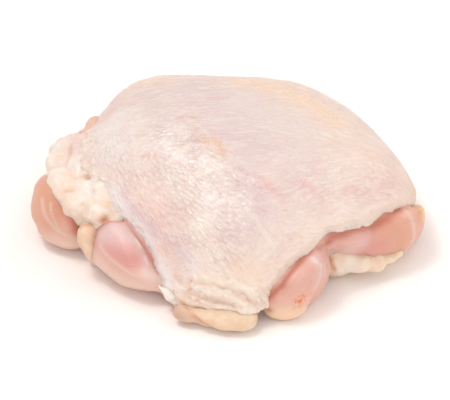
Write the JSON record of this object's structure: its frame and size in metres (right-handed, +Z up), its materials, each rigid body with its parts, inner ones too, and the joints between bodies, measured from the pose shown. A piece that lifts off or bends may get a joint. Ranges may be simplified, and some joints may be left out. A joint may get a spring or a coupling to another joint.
{
  "type": "raw boneless chicken leg",
  "caption": "Raw boneless chicken leg with its skin on, folded into a rounded bundle and lying skin side up, with pink meat and yellow fat bulging out from under the skin's edge.",
  "frame": {"origin": "middle of the footprint, on the surface that the leg lies on", "axes": "+Z up, +X to the right of the picture and along the longest extent, -Y towards the corner of skin that runs down to the table"},
  "size_m": [0.129, 0.119, 0.0387],
  "materials": {
    "skin": "wet, finely wrinkled and goose-pimpled, pale pinkish cream with grey-lilac and peach areas",
    "meat": "wet and smooth, salmon pink with fine fibres and thin whitish membrane",
    "fat": "moist and lumpy, cream to pale yellow"
  },
  "bodies": {
    "root": {"skin": "skin", "meat": "meat", "fat_left": "fat", "fat_seam": "fat", "fat_front": "fat", "fat_right": "fat", "fat_tab": "fat"}
  },
  "joints": []
}
